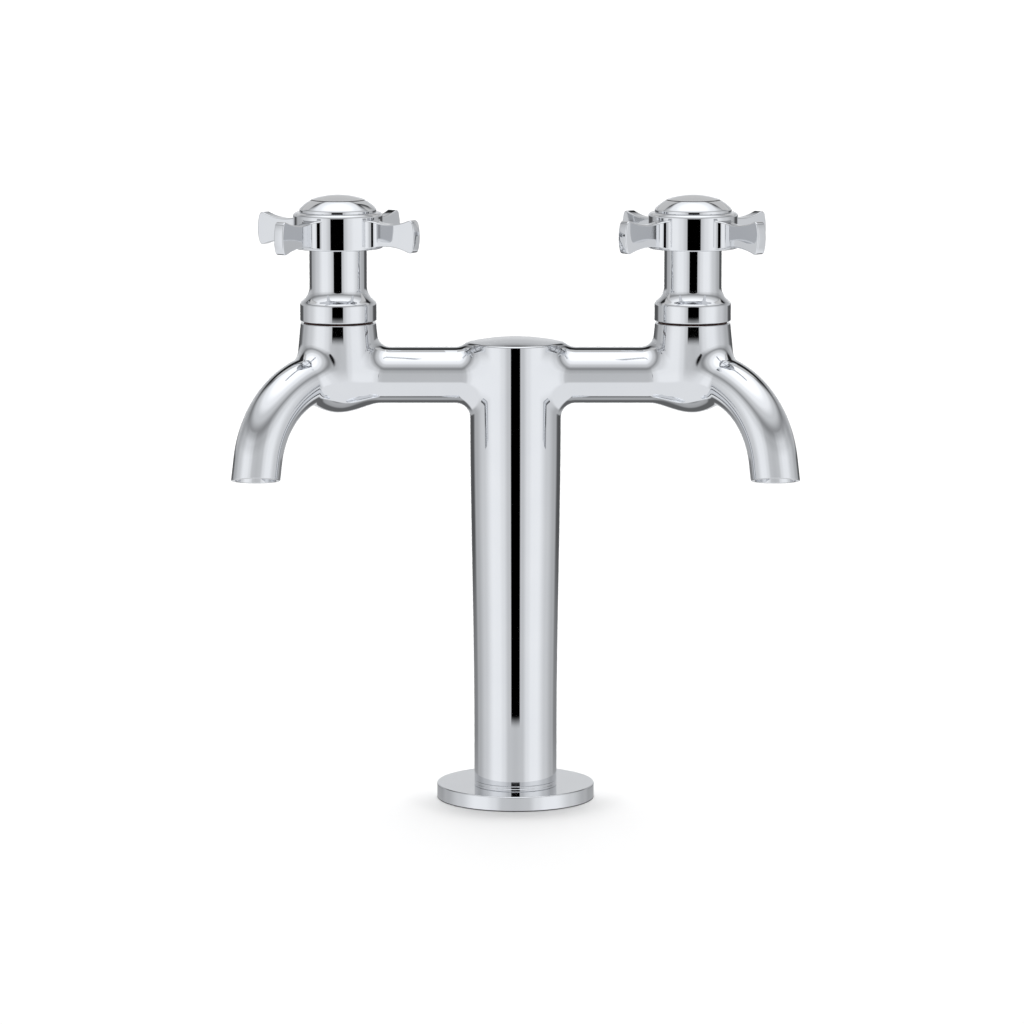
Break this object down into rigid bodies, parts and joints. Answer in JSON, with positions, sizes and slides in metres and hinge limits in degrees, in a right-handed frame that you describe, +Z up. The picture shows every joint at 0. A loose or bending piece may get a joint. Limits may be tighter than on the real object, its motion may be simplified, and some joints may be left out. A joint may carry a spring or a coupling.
{
  "type": "pillar tap",
  "caption": "Chromed pillar tap: one column on a deck flange, arms to two compression valves with cross handles, and two fixed down-turned spouts.",
  "frame": {"origin": "on the column's axis, in the deck's surface, at the flange's underside", "axes": "+Z up along the column, +X along the arms, -Y towards the user, where the spouts point"},
  "size_m": [0.2124, 0.0704, 0.2906],
  "materials": {
    "polished_chrome": "polished chrome plate on brass",
    "bare_brass": "turned brass",
    "zinc_steel": "zinc-plated pressed steel",
    "stainless_steel": "plain stainless steel",
    "black_rubber": "moulded nitrile rubber",
    "red_fibre": "vulcanised fibre",
    "white_plastic": "slippery white plastic"
  },
  "bodies": {
    "root": {"tap_body": "polished_chrome", "base_flange": "polished_chrome", "base_gasket": "black_rubber", "shank_seal": "black_rubber", "inlet_shank": "bare_brass", "deck_washer": "black_rubber", "clamp_washer": "zinc_steel", "backnut": "bare_brass", "left_headwork_body": "bare_brass", "left_headwork_seal": "red_fibre", "left_bonnet_shroud": "polished_chrome", "right_headwork_body": "bare_brass", "right_headwork_seal": "red_fibre", "right_bonnet_shroud": "polished_chrome"},
    "left_handle": {"left_spindle": "bare_brass", "left_spindle_o_rings": "black_rubber", "left_thrust_washer": "white_plastic", "left_spindle_circlip": "stainless_steel", "left_cross_handle": "polished_chrome", "left_handle_screw": "stainless_steel", "left_handle_cap": "polished_chrome"},
    "left_valve": {"left_valve_carrier": "bare_brass", "left_seat_washer": "black_rubber", "left_washer_screw": "stainless_steel"},
    "right_handle": {"right_spindle": "bare_brass", "right_spindle_o_rings": "black_rubber", "right_thrust_washer": "white_plastic", "right_spindle_circlip": "stainless_steel", "right_cross_handle": "polished_chrome", "right_handle_screw": "stainless_steel", "right_handle_cap": "polished_chrome"},
    "right_valve": {"right_valve_carrier": "bare_brass", "right_seat_washer": "black_rubber", "right_washer_screw": "stainless_steel"}
  },
  "joints": [
    {"name": "left_handle_turn", "type": "hinge", "parent": "root", "child": "left_handle", "pos_m": [-0.0669, 0, 0.1824], "axis": [0, 0, 1], "range_deg": [0, 720]},
    {"name": "left_valve_lift", "type": "slide", "parent": "root", "child": "left_valve", "axis": [0, 0, 1], "range_m": [0, 0.004]},
    {"name": "right_handle_turn", "type": "hinge", "parent": "root", "child": "right_handle", "pos_m": [0.0669, 0, 0.1824], "axis": [0, 0, 1], "range_deg": [0, 720]},
    {"name": "right_valve_lift", "type": "slide", "parent": "root", "child": "right_valve", "axis": [0, 0, 1], "range_m": [0, 0.004]}
  ],
  "couplings": [
    {"joint": "left_valve_lift", "follows": "left_handle_turn", "m_per_rad": 0.00031831},
    {"joint": "right_valve_lift", "follows": "right_handle_turn", "m_per_rad": 0.00031831}
  ]
}
